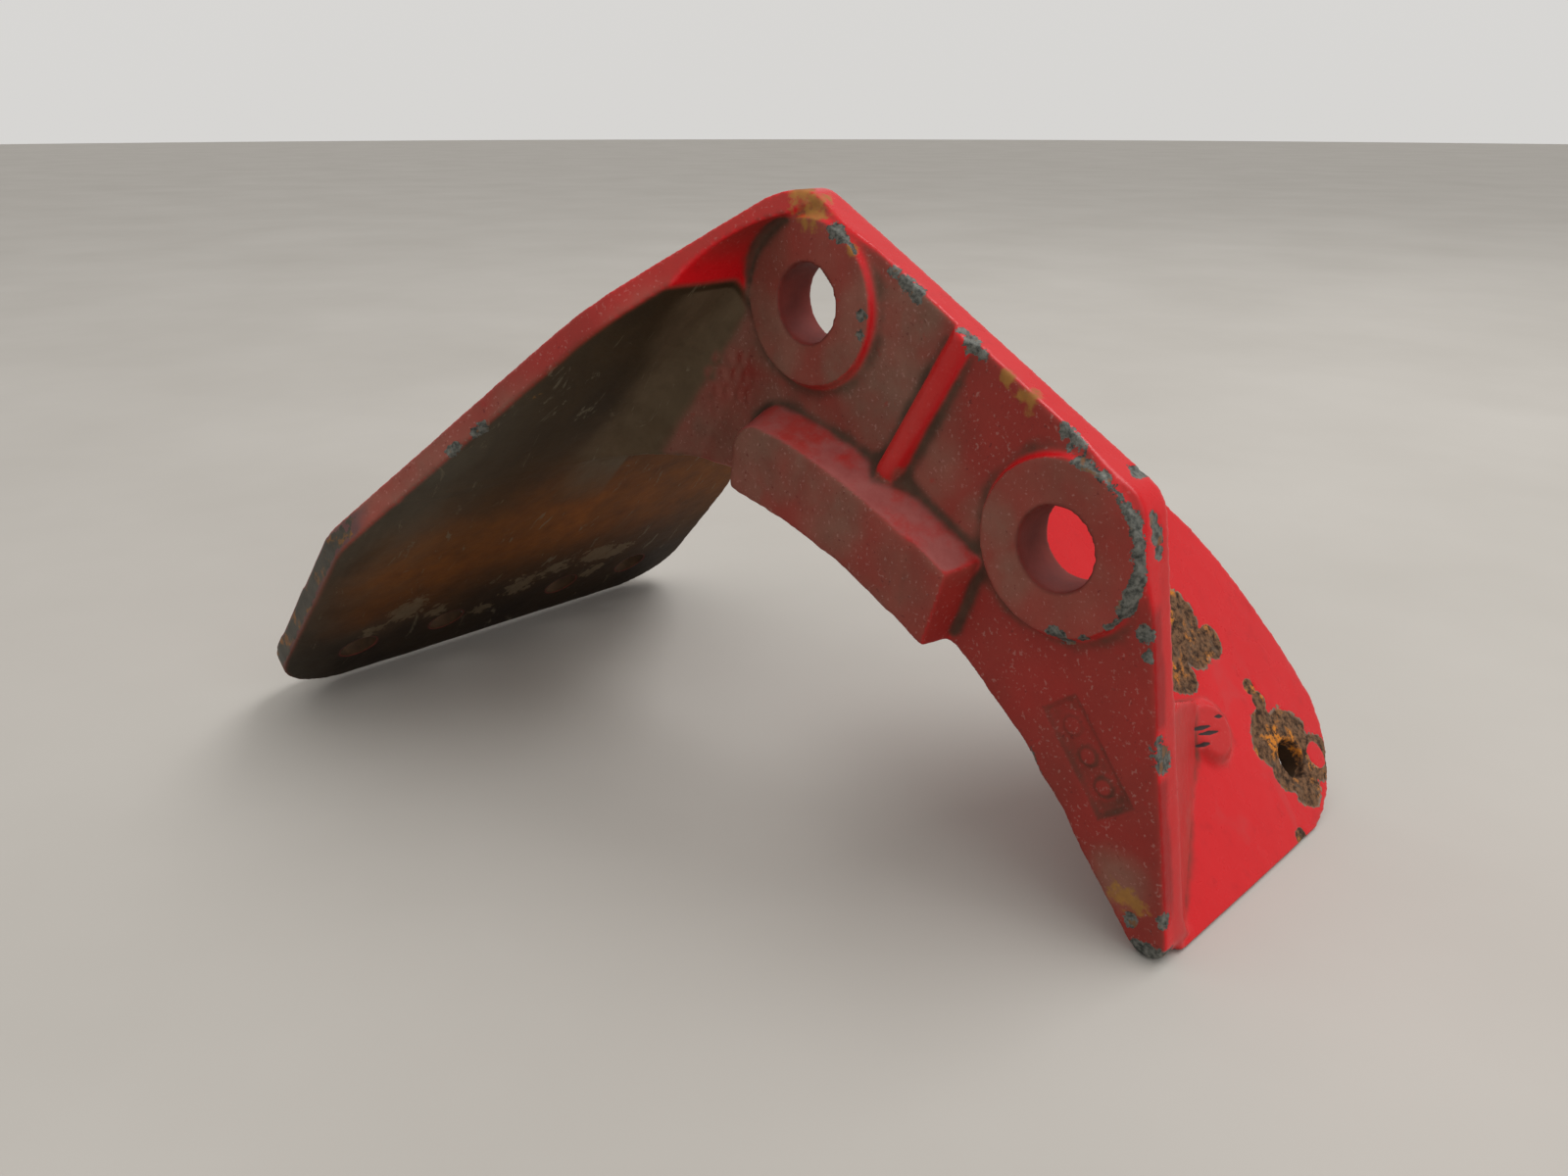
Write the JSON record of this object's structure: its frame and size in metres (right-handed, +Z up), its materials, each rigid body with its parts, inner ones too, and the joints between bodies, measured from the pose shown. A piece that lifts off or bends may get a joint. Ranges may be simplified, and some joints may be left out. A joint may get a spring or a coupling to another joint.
{
  "type": "mud flap bracket",
  "caption": "Arched cast iron bracket with bolt bosses, a wide sloping flange for bolting on a mud flap and a side wing, painted and worn.",
  "frame": {"origin": "centre of the upper bolt bore, on the front face of its boss", "axes": "+X along the web towards the side wing, +Y from the front of the web to the back, along the bolt bores, +Z up with the bracket standing on its flange and foot"},
  "size_m": [0.2541, 0.1823, 0.148],
  "materials": {
    "painted_iron": "red enamel over cast iron, dusty, chipped to bare iron on its edges and rusted in patches"
  },
  "bodies": {
    "root": {"bracket_casting": "painted_iron"}
  },
  "joints": []
}
